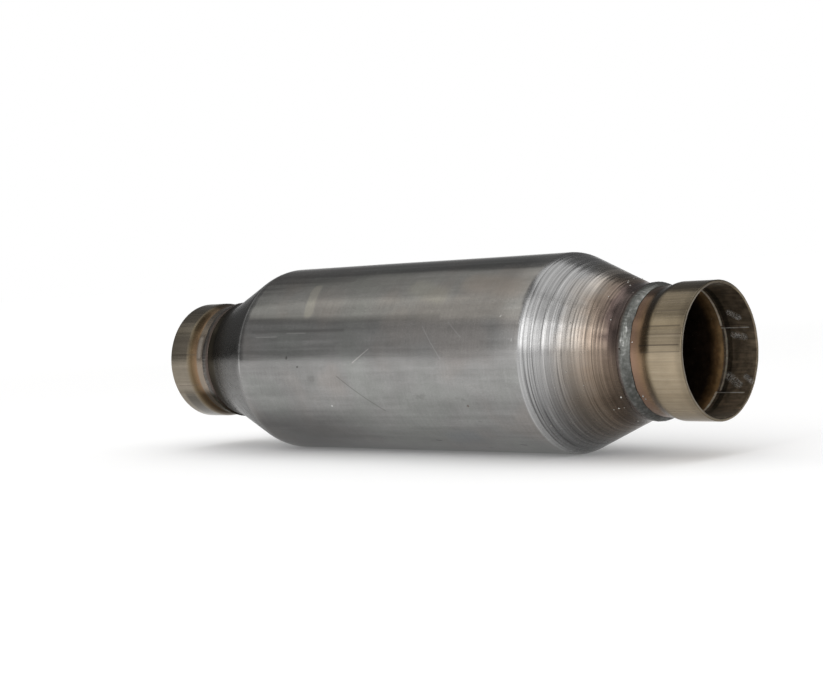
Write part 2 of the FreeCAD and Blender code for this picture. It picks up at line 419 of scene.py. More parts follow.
# Scratches, specks and stains on the body, and light patches and long light and dark lines high
# on it that are painted reflections: from and to (x, angle in degrees), width and softness in
# millimetres, strength, and colour.
BODY_MARKS = (
    (-11.7, 0.2, 0.0, 8.2, 0.15, 0.2, 0.6, (0.70, 0.67, 0.65)),
    (-24.4, -7.5, 4.1, -30.2, 0.15, 0.3, 0.5, (0.08, 0.075, 0.07)),
    (35.9, 20.9, 49.6, 1.7, 0.1, 0.4, 0.25, (0.6, 0.6, 0.6)),
    (52.9, 22.8, 62.3, 13.8, 0.1, 0.35, 0.25, (0.6, 0.6, 0.6)),
    (-61.2, 3.6, -61.0, 4.2, 0.6, 0.5, 0.8, (0.05, 0.045, 0.04)),
    (-53.2, -1.8, -52.8, -1.7, 0.5, 0.4, 0.8, (0.05, 0.045, 0.04)),
    (-44.0, -9.2, -42.8, -9.0, 1.0, 3.0, 0.35, (0.12, 0.115, 0.11)),
    (-33.8, -26.9, -33.8, -26.9, 0.5, 0.5, 0.8, (0.8, 0.8, 0.8)),
    (61.6, -26.3, 61.6, -26.3, 0.6, 0.7, 0.7, (0.10, 0.06, 0.045)),
    (24.6, -55.7, 27.4, -56.2, 0.3, 0.6, 0.7, (0.06, 0.06, 0.06)),
    (78.0, -59.4, 81.0, -60.0, 0.4, 0.8, 0.7, (0.06, 0.06, 0.06)),
    (53.0, -66.1, 55.6, -66.0, 0.3, 0.6, 0.6, (0.06, 0.06, 0.06)),
    (40.0, -53.0, 52.0, -51.0, 4.0, 7.0, 0.25, (0.20, 0.23, 0.26)),
    # Painted reflections: light patches high on the body, then long light and dark lines along it
    # at fixed heights.
    (-53.0, 51.0, -49.5, 32.0, 4.0, 2.5, 0.45, (0.50, 0.48, 0.42)),
    (22.0, 48.0, 42.0, 40.0, 4.0, 6.0, 0.3, (0.45, 0.44, 0.37)),
    (58.0, 50.0, 92.0, 43.0, 5.0, 7.0, 0.3, (0.47, 0.40, 0.34)),
    (-96.0, 62.0, -30.0, 58.0, 1.5, 3.0, 0.35, (0.16, 0.155, 0.15)),
    (-94.0, 28.0, 45.0, 26.5, 0.8, 2.2, 0.35, (0.15, 0.145, 0.14)),
    (-90.0, 20.5, -20.0, 20.0, 0.4, 1.2, 0.35, (0.15, 0.145, 0.14)),
    (-86.0, 17.0, -70.0, 17.0, 0.2, 0.5, 0.35, (0.60, 0.60, 0.58)),
    (-62.0, 19.0, -48.0, 18.8, 0.2, 0.5, 0.30, (0.60, 0.60, 0.58)),
    (-98.0, 66.0, 70.0, 64.0, 0.6, 1.8, 0.35, (0.15, 0.145, 0.14)),
    (-40.0, 71.0, 80.0, 70.0, 0.4, 1.5, 0.35, (0.50, 0.50, 0.49)),
    # Light specks.
    (85.9, 25.0, 86.3, 25.6, 0.3, 0.4, 0.6, (0.7, 0.7, 0.68)),
    (95.0, 11.0, 95.1, 12.0, 0.3, 0.4, 0.6, (0.7, 0.7, 0.68)),
)


def shell_steel():
    """Drawn tube along the body, and cones with heat tint and rings from the spinning tool, with
    painted shade, highlights and reflections in places.
    """
    s = Surface("spun_shell_steel")
    rings = s.noise((5.0, 0.02, 0.02), detail=3.0)
    ring_lines = s.noise((0.9, 0.010, 0.010), detail=3.0, roughness=0.7)
    fine_lines = s.noise((1.5, 0.015, 0.015), detail=1.0)
    hoops = s.noise((0.9, 0.06, 0.06), detail=3.0)
    streaks = s.noise((0.010, 0.35, 0.35), detail=4.0, roughness=0.55)
    hue = s.noise(0.022, detail=2.0)
    cloud = s.noise((0.012, 0.06, 0.06), detail=3.0)
    stain = s.noise((0.07, 0.14, 0.14), detail=5.0, roughness=0.6)
    speckle = s.noise(1.6, detail=2.0)

    # The body: streaks along it, warm and green patches, clouds and dark stains.
    body = s.ramp(streaks, (0.3, (0.265, 0.262, 0.255)), (0.7, (0.335, 0.332, 0.325)))
    body = s.mix(s.span(hue, 0.48, 0.62, 0.0, 0.45), body, (0.33, 0.30, 0.28))
    body = s.mix(s.span(hue, 0.5, 0.36, 0.0, 0.5), body, (0.29, 0.30, 0.285))
    body = s.grey(body, s.span(cloud, 0.3, 0.7, 0.92, 1.08))
    body = s.grey(body, s.span(stain, 0.35, 0.65, 0.95, 1.05))
    body = s.mix(s.span(stain, 0.66, 0.74, 0.0, 0.3), body, (0.15, 0.145, 0.14))
    # Painted shade low down and just above it, mostly towards the outlet.
    body = s.shaded(body, 0.5, s.span(s.lift, -20, -42), s.span(s.x, 20, -90))
    body = s.shaded(body, 0.2, s.span(s.lift, 3, -2), s.span(s.lift, -26, -16),
                    s.span(s.x, -20, -80))
    body = s.grey(body, s.span(hoops, 0.35, 0.65, 0.97, 1.03))
    body = s.grey(body, s.span(speckle, 0.3, 0.75, 0.93, 1.07))
    # Painted highlight on the upper body, just before the inlet's corner.
    body = s.lightened(body, s.span(s.lift, -4, 12), s.span(s.x, 80, 98, 0.0, 0.5))
    body = s.marked(body, BODY_MARKS)

    # The inlet cone: bare at the corner, then straw, brown and nearly black by the weld.
    edge = s.maths("ADD", s.x, s.span(cloud, 0.3, 0.7, -3.0, 3.0))
    tint = s.ramp(s.span(edge, 98, 146, smooth=False),
                  (0.0, (0.42, 0.42, 0.42)), (0.35, (0.39, 0.385, 0.38)),
                  (0.55, (0.39, 0.355, 0.32)), (0.70, (0.35, 0.28, 0.225)),
                  (0.79, (0.24, 0.185, 0.15)), (0.86, (0.095, 0.07, 0.062)),
                  (1.0, (0.08, 0.062, 0.058)))
    # Painted shade on the cone's low side: browner and darker below the middle, and darker again
    # from just past the corner.
    low_side = s.product(0.5, s.span(s.lift, 25, -25), s.span(s.x, 106, 124))
    tint = s.mix(low_side, tint, (0.24, 0.180, 0.125))
    tint = s.shaded(tint, 0.52, s.span(s.lift, 13, -40), s.span(s.x, 99, 105))
    # Painted highlights on top by the neck and in a ring above the middle, with a band of painted
    # shade between them.
    tint = s.lightened(tint, s.span(s.lift, 20, 40), s.span(s.x, 133.5, 138.5))
    tint = s.lightened(tint, s.span(s.lift, 48, 62), s.span(s.x, 120, 124),
                       s.span(s.x, 128, 125.5, 0.0, 0.5))
    tint = s.shaded(tint, 0.32, s.span(s.lift, 38, 46), s.span(s.x, 126.5, 129),
                    s.span(s.x, 133.5, 131))
    tint = s.grey(tint, s.span(ring_lines, 0.37, 0.43, 0.55, 1.0))
    tint = s.grey(tint, s.span(ring_lines, 0.60, 0.68, 1.0, 1.45))
    tint = s.grey(tint, s.span(fine_lines, 0.35, 0.65, 0.82, 1.16))
    colour = s.mix(s.span(s.x, 97.5, 99.5), body, tint)

    # The outlet cone, dark all over: heat tint, darkest by the neck, and painted shade over the
    # whole cone.
    far_tint_and_shade = s.ramp(s.span(s.x, -146, -96, smooth=False),
                      (0.0, (0.040, 0.033, 0.023)), (0.15, (0.05, 0.043, 0.033)),
                      (0.5, (0.12, 0.118, 0.113)), (0.85, (0.13, 0.128, 0.123)),
                      (1.0, (0.32, 0.315, 0.31)))
    # Painted shade low down near the neck.
    far_tint_and_shade = s.shaded(far_tint_and_shade, 0.4, s.span(s.lift, 2, -25), s.span(s.x, -136, -139))
    colour = s.mix(s.span(s.x, -97.5, -100.5), colour, far_tint_and_shade)
    # A painted highlight in a thin ring at the outlet's corner, at half strength above the middle
    # and fading out below it.
    painted_corner_highlight = s.product(s.span(s.x, -100.7, -99.9), s.span(s.x, -98.5, -99.3),
                            s.span(s.lift, -10, 8, 0.0, 0.5))
    colour = s.mix(painted_corner_highlight, colour, (0.9, 0.9, 0.88))
    # Dimmer reflections at grazing angles over the outlet cone, painted shade like its dark colour.
    edge_tint = s.mix(s.span(s.x, -99, -104), (1.0, 1.0, 1.0), (0.78, 0.78, 0.78))
    s.put(s.shader.inputs["Specular Tint"], edge_tint)

    # The cones are a little rougher than the body, and only the inlet's is grooved.
    spun = s.span(s.maths("ABSOLUTE", s.x), 96, 100)
    rough = s.maths("ADD", s.span(streaks, 0.3, 0.7, 0.17, 0.23), s.product(spun, 0.06))
    depth = s.maths("ADD", s.span(s.x, 96, 100, 0.0, 0.92), 0.08)
    s.bumps((s.product(speckle, depth), 0.006), (s.product(rings, depth), 0.02))
    return s.finish(colour, rough, anisotropy=0.3)


# Lines that the edges of the stretching jaws left along the outside of both sockets, and one
# painted highlight across the outlet's tube, beside its weld. They are written as BODY_MARKS are.
SOCKET_LINES = (
    (160.0, 37.7, 180.0, 38.3, 0.25, 0.5, 0.35, (0.10, 0.08, 0.06)),
    (158.0, 24.2, 179.0, 24.4, 0.30, 0.5, 0.60, (0.09, 0.07, 0.05)),
    (160.0, 17.5, 180.5, 17.6, 0.15, 0.5, 0.35, (0.12, 0.09, 0.06)),
    (156.5, 8.7, 179.5, 8.8, 0.25, 0.4, 0.70, (0.08, 0.06, 0.045)),
    (158.0, 3.2, 180.0, 3.4, 0.15, 0.4, 0.50, (0.10, 0.08, 0.06)),
    (160.0, -4.5, 178.0, -4.5, 0.10, 0.5, 0.25, (0.14, 0.11, 0.08)),
    (-158.0, 9.0, -176.0, 9.0, 0.25, 0.5, 0.50, (0.10, 0.08, 0.06)),
    # A painted highlight across the outlet's tube, beside its weld.
    (-154.2, 26.0, -154.2, 8.0, 1.2, 1.8, 0.75, (0.60, 0.53, 0.46)),
    (-158.0, -23.0, -174.0, -23.0, 0.25, 0.5, 0.40, (0.12, 0.09, 0.07)),
    (-158.0, -31.0, -176.0, -31.0, 0.20, 0.5, 0.35, (0.12, 0.09, 0.07)),
)


# Degrees of lift at which the shade on the outlet's underside starts and is full.
LOW = (-26, -37)


def socket_steel():
    """The outside of both sockets: straw-coloured ends, heat bands by the welds, and painted shade.
    """
    s = Surface("socket_steel", SOCKET_RADIUS)
    streaks = s.noise((0.02, 0.9, 0.9), detail=4.0, roughness=0.6)
    cloud = s.noise(0.06, detail=3.0)
    far = s.maths("ABSOLUTE", s.x)
    outlet = s.span(s.x, 0.0, -1.0)
    low = s.span(s.lift, *LOW)
    straw = s.ramp(streaks, (0.3, (0.31, 0.25, 0.172)), (0.5, (0.36, 0.295, 0.206)),
                   (0.7, (0.41, 0.34, 0.245)))
    outlet_straw = s.ramp(streaks, (0.3, (0.195, 0.168, 0.130)), (0.7, (0.265, 0.232, 0.185)))
    band = s.ramp(s.span(far, 148, 172, smooth=False),
                  (0.0, (0.20, 0.14, 0.11)), (0.2, (0.26, 0.165, 0.115)),
                  (0.36, (0.23, 0.15, 0.09)), (0.50, (0.13, 0.09, 0.05)),
                  (0.58, (0.16, 0.12, 0.07)), (0.75, (0.34, 0.28, 0.19)))
    colour = s.mix(s.span(far, 160, 165), band, s.mix(outlet, straw, outlet_straw))
    tube = s.product(0.75, s.span(s.x, -157.0, -155.5), outlet)
    colour = s.mix(tube, colour, (0.25, 0.225, 0.19))

    # Painted shade above the shoulder, near the inlet's rim and on top of the inlet's tube.
    colour = s.shaded(colour, 0.55, s.span(s.lift, 18, 42), s.span(s.x, 155, 157),
                      s.span(s.x, 165, 162))
    colour = s.shaded(colour, 0.25, s.span(s.x, 176, 180))
    colour = s.shaded(colour, 0.40, s.span(s.lift, 58, 68), s.span(s.x, 150, 155))
    # Painted shade low down on the outlet's tube and shoulder; darker at both cut edges as well.
    colour = s.shaded(colour, 0.68, low, s.span(s.x, -162, -158), outlet)
    colour = s.shaded(colour, 0.45,
                      s.span(far, RIM_X["outlet"] - 0.4, RIM_X["outlet"] - 0.1), outlet)
    colour = s.shaded(colour, 0.45, s.span(s.x, RIM_X["inlet"] - 0.4, RIM_X["inlet"] - 0.1))
    colour = s.shaded(colour, 0.55, low, s.span(s.x, -162, -165), s.span(s.x, -174, -171))
    colour = s.grey(colour, s.span(cloud, 0.3, 0.7, 0.9, 1.1))
    colour = s.marked(colour, SOCKET_LINES)
    # Dimmer reflections low down on the outlet's tube, a painted shade.
    tube_low = s.product(low, s.span(s.x, -161, -157), outlet)
    s.put(s.shader.inputs["Specular Tint"],
          s.mix(tube_low, (1.0, 1.0, 1.0), (0.48, 0.48, 0.47)))
    s.bumps((streaks, 0.012))
    return s.finish(colour, s.span(streaks, 0.3, 0.7, 0.2, 0.28), anisotropy=0.2)


# Scuffs inside the inlet socket: from and to (x, angle in degrees), and width and softness in
# millimetres.
BORE_SCUFFS = (
    (169.5, 149.0, 173.5, 153.5, 1.6, 1.6),
    (168.5, 170.0, 175.0, 172.0, 1.4, 1.4),
    (166.6, -153.4, 173.6, -145.0, 1.8, 1.8),
    (176.2, -153.0, 180.5, -147.5, 0.8, 1.4),
)


def jaw_light_and_shade():
    """Painted light and shade on the prints of the stretching jaws inside a socket: at each gap a
    painted highlight and a painted shade line along the axis, and at the end of each jaw a painted
    highlight along the crease round it."""
    marks = []
    half_gap = math.degrees(JAW_GAP / 2 / SOCKET_BORE)
    start, end = SHOULDER_END_X + 0.4, 178.0
    for i in range(JAWS):
        gap = (90.0 - JAW_TURN - i * 360.0 / JAWS + 180.0) % 360.0 - 180.0
        next_gap = gap - 360.0 / JAWS
        crease = SHOULDER_END_X + JAW_STAGGER[i]
        for angle, *look in (
            (gap + half_gap, 0.2, 0.35, 0.9, (1.0, 0.96, 0.88)),
            (gap - half_gap, 0.05, 0.30, 0.45, (0.05, 0.04, 0.035)),
        ):
            marks.append((start, angle, end, angle, *look))
        arcs = [(gap - half_gap, next_gap + half_gap)]
        if next_gap < -180:
            arcs = [(gap - half_gap, -180.0), (180.0, next_gap + half_gap + 360.0)]
        for first, last in arcs:
            marks.append((crease, first, crease, last, 0.5, 0.5, 0.95, (1.0, 0.90, 0.76)))
    return marks


def socket_bore():
    """The inside of a socket, dulled and scuffed by the stretching tool, with painted light and
    shade.
    """
    s = Surface("socket_bore", SOCKET_BORE)
    streaks = s.noise((0.12, 0.9, 0.9), detail=4.0)
    grit = s.noise(1.7, detail=4.0, roughness=0.7)
    far = s.maths("ABSOLUTE", s.x)
    stretched = s.ramp(streaks, (0.3, (0.22, 0.19, 0.155)), (0.7, (0.38, 0.33, 0.265)))
    # Darker the deeper it goes, nearly black far in, a painted shade, with a golden band by the
    # shoulder.
    deep = s.ramp(s.span(far, 146, 163, smooth=False),
                  (0.0, (0.03, 0.022, 0.018)), (0.55, (0.06, 0.042, 0.03)),
                  (0.80, (0.20, 0.13, 0.065)), (0.95, (0.44, 0.32, 0.18)))
    colour = s.mix(s.span(far, SHOULDER_END_X - 0.3, SHOULDER_END_X + 0.6), deep, stretched)
    # Painted shade: the half that faces away from the viewer's side is darker, in a band past the
    # crease and towards the top, and warmer.
    behind = s.span(s.maths("ABSOLUTE", s.angle), 1.75, 2.1)
    colour = s.shaded(colour, 0.60, behind,
                      s.span(far, SHOULDER_END_X + 1.8, SHOULDER_END_X + 2.6),
                      s.span(far, SHOULDER_END_X + 5.6, SHOULDER_END_X + 4.6))
    colour = s.shaded(colour, 0.40, behind, s.span(s.lift, 5, 35))
    warmer = s.vector("MULTIPLY", colour, (1.25, 0.95, 0.6))
    colour = s.mix(s.product(behind, 0.35), colour, warmer)
    colour = s.marked(colour, jaw_light_and_shade())
    for place in BORE_SCUFFS:
        scuff = s.product(s.line(*place), s.span(grit, 0.46, 0.54))
        colour = s.mix(scuff, colour, (1.0, 0.97, 0.92))
    colour = s.mix(s.span(grit, 0.66, 0.72, 0.0, 0.6), colour, (0.70, 0.64, 0.54))
    colour = s.grey(colour, s.span(s.noise(0.25, detail=4.0), 0.35, 0.65, 0.75, 1.25))
    s.bumps((grit, 0.03), (streaks, 0.03))
    return s.finish(colour, s.span(streaks, 0.3, 0.7, 0.38, 0.5), metallic=0.85)


def weld_metal():
    """A grey bead with painted highlights on its edges and upper part, browner at the outlet, and
    painted shade low down.
    """
    s = Surface("weld_metal", NECK_RADIUS)
    lumps = s.noise(0.5, detail=4.0)
    fine = s.noise(3.0, detail=3.0)
    far = s.maths("ABSOLUTE", s.x)
    outlet = s.span(s.x, 0.0, -1.0)
    low = s.span(s.lift, *LOW)
    colour = s.ramp(lumps, (0.34, (0.115, 0.118, 0.108)), (0.55, (0.165, 0.168, 0.158)),
                    (0.72, (0.26, 0.26, 0.25)))
    colour = s.mix(s.span(far, 147.5, 145.0), colour, (0.10, 0.075, 0.065))
    # Painted highlights along the bead's two edges.
    colour = s.mix(s.span(far, 144.5, 143.5), colour, (0.50, 0.49, 0.46))
    colour = s.mix(s.span(far, 152.3, 152.8, 0.0, 0.7), colour, (0.60, 0.59, 0.56))
    colour = s.mix(s.span(s.x, 0.0, -1.0, 0.0, 0.6), colour, (0.10, 0.08, 0.07))
    # Painted highlight on the upper part of the bead, and painted shade low down, with dimmer
    # reflections low on the outlet's bead.
    colour = s.lightened(colour, s.span(s.lift, -2, 14), s.span(s.x, 147.5, 152.0, 0.1, 0.7))
    colour = s.shaded(colour, 0.4, s.span(s.lift, 5, -20), s.span(s.x, 146, 149))
    colour = s.shaded(colour, 0.6, low, outlet)
    s.put(s.shader.inputs["Specular Tint"],
          s.mix(s.product(low, outlet), (1.0, 1.0, 1.0), (0.4, 0.4, 0.38)))
    s.bumps((fine, 0.012), (lumps, 0.05))
    return s.finish(colour, s.span(lumps, 0.3, 0.7, 0.42, 0.28))


def ceramic():
    s = Surface("washcoated_ceramic", BRICK_RADIUS)
    grain = s.noise(4.0, detail=4.0)
    cloud = s.noise(0.08, detail=2.0)
    colour = s.ramp(cloud, (0.3, (0.50, 0.44, 0.33)), (0.7, (0.62, 0.55, 0.42)))
    colour = s.grey(colour, s.span(grain, 0.3, 0.7, 0.85, 1.1))
    s.bumps((grain, 0.03))
    return s.finish(colour, 0.85, metallic=0.0)


def fibre():
    s = Surface("fibre_mat", BODY_RADIUS)
    threads = s.noise((0.5, 3.0, 3.0), detail=5.0, distortion=1.2)
    colour = s.ramp(threads, (0.3, (0.55, 0.52, 0.45)), (0.7, (0.78, 0.75, 0.68)))
    s.bumps((threads, 0.15))
    s.shader.inputs["Sheen Weight"].default_value = 0.2
    return s.finish(colour, 0.95, metallic=0.0)


def knitted_wire():
    s = Surface("knitted_seal_wire", BODY_RADIUS)
    mesh = s.noise((2.5, 2.5, 2.5), detail=3.0, distortion=2.5)
    colour = s.ramp(mesh, (0.35, (0.07, 0.065, 0.06)), (0.6, (0.32, 0.31, 0.30)))
    s.bumps((mesh, 0.2))
    return s.finish(colour, 0.45)


SHELL_STEEL = shell_steel()
SOCKET_STEEL = socket_steel()
SOCKET_BORE_STEEL = socket_bore()
WELD_METAL = weld_metal()
CERAMIC = ceramic()
FIBRE = fibre()
SEAL_WIRE = knitted_wire()


# ---------------------------------------------------------------- shell

SHELL_LINE = bent_path([
    (0.0, BODY_RADIUS, 0),
    (CORNER_X, BODY_RADIUS, CORNER_BEND["inlet"]),
    (NECK_START_X, NECK_RADIUS, THROAT_BEND),
    (NECK_END_X, NECK_RADIUS, 0),
])


# The grooves on each cone: seed, count, and pitch and depth in millimetres.
GROOVES = {"inlet": (3, 26, 1.6, 0.13), "outlet": (4, 24, 1.9, 0.03)}


def spun_grooves(seed, count, pitch, depth):
    """A cone's grooves: their depth at a place along the axis and an angle round it."""
    draw = np.random.default_rng(seed)
    places = np.cumsum(draw.uniform(0.75, 1.25, count)) * pitch
    depths = depth * draw.uniform(0.15, 1.0, count) ** 1.5
    widths = draw.uniform(0.28, 0.5, count) * pitch
    phases = draw.uniform(0, TURN, count)

    def cut(along, angle):
        total = np.zeros_like(along)
        for place, deep, wide, phase in zip(places, depths, widths, phases):
            drift = place + 0.12 * pitch * np.sin(angle + phase)
            uneven = 0.75 + 0.25 * np.sin(2 * angle + 1.7 * phase)
            total += deep * uneven * np.exp(-((along - drift) / wide) ** 2)
        return total
    return cut


PLAIN_STEP = 12.0           # millimetres between rows where the sheet is plain


def make_shell():
    """The sheet of the body, its cones and necks, with the grooves of the spinning tool."""
    corners = [
        (-NECK_END_X, NECK_RADIUS, 0),
        (-NECK_START_X, NECK_RADIUS, THROAT_BEND),
        (-CORNER_X, BODY_RADIUS, CORNER_BEND["outlet"]),
        (CORNER_X, BODY_RADIUS, CORNER_BEND["inlet"]),
        (NECK_START_X, NECK_RADIUS, THROAT_BEND),
        (NECK_END_X, NECK_RADIUS, 0),
    ]

    def step(x):
        if abs(x) < CORNER_X - 5:
            return PLAIN_STEP
        return 0.24 if x > 0 else 0.45
    outer = bent_path(corners, 14, step)
    inner = bent_path(offset_corners(corners, WALL), 7, lambda x: PLAIN_STEP)
    profile = loop(outer, inner)
    cuts = {end: spun_grooves(*GROOVES[end]) for end in SIDE}
    uneven = wander(14, 1, 5, SHEET_SEED)

    def shift(x, r, angle, row):
        # Waves and grooves both go inwards, so that the shell stays inside its CAD size.
        skin = row < len(outer)
        out = SHEET_WAVES * (uneven(x / 60.0, angle) - 1)
        fade = np.clip((NECK_START_X + 1 - np.abs(x)) / 6, 0, 1)
        for end, cut in cuts.items():
            along = SIDE[end] * x - CORNER_X
            out -= np.clip((along + 2.5) / 2.0, 0, 1) * fade * cut(along + 1.0, angle)
        return np.zeros_like(x), np.where(skin, out, 0.0)
    piece = turned_grid("spun_shell", profile, shift, SHELL_STEEL,
                        sharp=(0, len(outer) - 1, len(outer), len(profile) - 1))
    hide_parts("shell")


# ---------------------------------------------------------------- sockets

def make_socket(end):
    """A stretched socket: the tube, its shoulder, the prints of the tool's jaws and the cut rim."""
    rim_x = RIM_X[end]
    side = SIDE[end]
    corners = [
        (NECK_END_X - TUBE_OVERLAP, TUBE_RADIUS, 0),
        (SHOULDER_START_X, TUBE_RADIUS, SHOULDER_BEND),
        (SHOULDER_END_X, SOCKET_RADIUS, SHOULDER_BEND),
        (rim_x, SOCKET_RADIUS, 0),
    ]

    def step(x):
        return 0.5 if x > SHOULDER_START_X - 3 else 2.0

    def inner_step(x):
        return 0.2 if abs(x - SHOULDER_END_X) < 2 else step(x)
    outer = bent_path(corners, 8, step)
    inner = bent_path(offset_corners(corners, WALL), 8, inner_step)
    round_edge = [[rim_x - RIM_ROUND, SOCKET_RADIUS], [rim_x - 0.08, SOCKET_RADIUS - 0.1],
                  [rim_x, SOCKET_RADIUS - RIM_ROUND]]
    bore_edge = [[rim_x - 0.15, SOCKET_BORE], [rim_x, SOCKET_BORE + 0.12]]
    outer = np.concatenate([outer[:-1], round_edge])
    inner = np.concatenate([inner[:-1], bore_edge])
    profile = loop(outer, inner)
    gaps = [math.radians(JAW_TURN + i * 360 / JAWS) for i in range(JAWS)]
    half_gap = JAW_GAP / 2 / SOCKET_BORE
    uneven = wander(10, 1, 4, TUBE_SEED[end])
    burr = waves(14, 40, BURR_SEED[end])

    def shift(x, r, angle, row):
        inside = row >= len(outer)
        rib = np.zeros_like(x)
        crease = np.zeros_like(x)
        for i, gap in enumerate(gaps):
            # Angles here go from -Y up, and the jaws are counted from +Z over to -Y.
            away = np.abs((angle - (math.pi / 2 - gap) + math.pi) % TURN - math.pi)
            rib = np.maximum(rib, np.clip((half_gap * 1.15 - away) / (half_gap * 0.3), 0, 1))
            after = ((math.pi / 2 - gap) - angle) % TURN
            crease = np.where(after < TURN / JAWS, JAW_STAGGER[i], crease)
        print_end = SHOULDER_END_X + crease
        pressed = np.clip((x - print_end) / 0.25, 0, 1)
        out = np.where(inside, -JAW_PRINT * (1 - pressed * (1 - rib)), 0.0)
        out = np.where(inside & (x < SHOULDER_END_X - 1.0),
                       -JAW_PRINT * np.clip((x - SHOULDER_START_X) / 4, 0, 1), out)
        out += np.where(inside, 0.0, TUBE_WAVES * (uneven(x / 20.0, angle) - 1))
        at_rim = np.clip((x - rim_x + RIM_ROUND) / RIM_ROUND, 0, 1)
        return -RIM_BURR * at_rim * (1 + burr(angle)), out
    piece = turned_grid(f"{end}_stretched_socket", profile, shift, SOCKET_STEEL,
                        side, sharp=(0, len(profile) - 1))
    piece.data.materials.append(SOCKET_BORE_STEEL)
    # The faces lie in rows, first the outside and the rim, then the bore.
    is_bore = [int(i // SEGMENTS > len(outer)) for i in range(len(piece.data.polygons))]
    piece.data.polygons.foreach_set("material_index", is_bore)
    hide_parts(f"{end}_socket")


# ---------------------------------------------------------------- welds

def make_weld(end):
    """A weld bead with its ripples and lumps, as laid round the neck's end."""
    side = SIDE[end]
    toe = np.array([NECK_END_X - BEAD_ON_NECK, NECK_RADIUS])
    foot = np.array([NECK_END_X + BEAD_ON_TUBE, TUBE_RADIUS])
    chord = foot - toe
    normal = np.array([-chord[1], chord[0]]) / np.linalg.norm(chord)
    shares = np.linspace(0, 1, 21)
    crown = [toe + chord * t + normal * BEAD_CROWN * 4 * t * (1 - t) for t in shares]
    below = [[NECK_END_X, TUBE_RADIUS - 0.02], [NECK_END_X - 1.0, TUBE_RADIUS - 0.02],
             [NECK_END_X - 1.0, NECK_RADIUS - 0.6], [toe[0] + 0.3, NECK_RADIUS - 0.4]]
    profile = np.array(crown + below)
    seed = BEAD_SEED[end]
    toe_line = waves(16, 26, seed)
    foot_line = waves(16, 26, seed + 1)
    lumps = wander(26, 6, 40, seed + 2)
    ripple_phase = waves(8, 9, seed + 3)
    size = waves(10, 7, seed + 4)

    def shift(x, r, angle, row):
        t = np.clip(row / (len(crown) - 1), 0, 1)
        on_crown = row < len(crown)
        hump = 4 * t * (1 - t)
        along = 0.25 * toe_line(angle) * (1 - t) + 0.3 * foot_line(angle) * t
        phase = BEAD_RIPPLES * angle + 2.5 * ripple_phase(angle) + 2.6 * hump
        ripple = 0.05 * (np.abs(np.sin(phase / 2)) * 2 - 1) * np.sqrt(hump)
        height = hump ** 0.8 * (0.2 * size(angle) + 0.08 * lumps(x / 6.0, angle)) + ripple
        return np.where(on_crown, along, 0.0), np.where(on_crown, height, 0.0)
    piece = turned_grid(f"{end}_weld_bead", profile, shift, WELD_METAL, side,
                        segments=BEAD_SEGMENTS)
    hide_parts(f"{end}_weld")


# ---------------------------------------------------------------- bricks

def honeycomb(end):
    """A brick as one solid: the lattice of its walls with every channel open from end to end. Its
    cells stop at a stepped edge just inside its round outline."""
    low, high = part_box(f"{end}_substrate")
    x_low, x_high = low.x / MM - MIDDLE, high.x / MM - MIDDLE
    half = (CELL_PITCH - CELL_WALL) / 2
    reach = int(BRICK_RADIUS / CELL_PITCH) + 1
    turn = math.radians(BRICK_TURN[end])
    lines = []
    for i in range(-reach, reach + 1):
        lines += [i * CELL_PITCH - half, i * CELL_PITCH + half]
    count = len(lines)

    def inside(i, j):
        return math.hypot(lines[i], lines[j]) < BRICK_RADIUS - BRICK_EDGE
    points, faces, index = [], [], {}

    def vertex(i, j, layer):
        key = (i, j, layer)
        if key not in index:
            y, z = lines[i], lines[j]
            index[key] = len(points)
            points.append((x_high if layer else x_low,
                           y * math.cos(turn) - z * math.sin(turn),
                           y * math.sin(turn) + z * math.cos(turn)))
        return index[key]
    kept = {}
    for i in range(count - 1):
        for j in range(count - 1):
            if all(inside(a, b) for a, b in ((i, j), (i + 1, j), (i + 1, j + 1), (i, j + 1))):
                kept[(i, j)] = i % 2 == 0 and j % 2 == 0
    for (i, j), channel in kept.items():
        ring = [(i, j), (i + 1, j), (i + 1, j + 1), (i, j + 1)]
        if not channel:
            faces.append([vertex(a, b, 1) for a, b in ring])
            faces.append([vertex(a, b, 0) for a, b in reversed(ring)])
        neighbours = ((i, j - 1), (i + 1, j), (i, j + 1), (i - 1, j))
        for (a, b), (c, d), neighbour in zip(ring, ring[1:] + ring[:1], neighbours):
            if channel:
                faces.append([vertex(a, b, 0), vertex(a, b, 1), vertex(c, d, 1), vertex(c, d, 0)])
            elif neighbour not in kept:
                faces.append([vertex(a, b, 0), vertex(c, d, 0), vertex(c, d, 1), vertex(a, b, 1)])
    piece = mesh_object(f"{end}_honeycomb", points, faces, CERAMIC, smooth=False)
    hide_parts(f"{end}_substrate")


# ---------------------------------------------------------------- spatter

# Drops of weld metal on the inlet side: (x, angle in degrees, radius).
DROPS = (
    (121.8, 24.1, 0.55), (122.6, 25.6, 0.30), (120.5, -8.8, 0.35), (109.4, 11.7, 0.35),
    (104.5, 8.7, 0.30), (105.1, -43.0, 0.35), (141.6, -36.1, 0.55), (139.5, 31.0, 0.40),
    (152.9, -37.6, 0.60), (153.6, -40.9, 0.40), (152.6, 12.0, 0.35), (144.0, 62.0, 0.45),
    (138.0, 74.0, 0.40), (134.0, 52.0, 0.35), (127.0, -20.0, 0.25), (118.0, 38.0, 0.25),
    (131.0, 5.0, 0.25), (114.0, -18.0, 0.25),
)
MORE_DROPS = 26             # on each side, at random
MORE_DROPS_X = 143.0        # where they start, and thin out towards the body
MORE_DROPS_SPREAD = 9.0


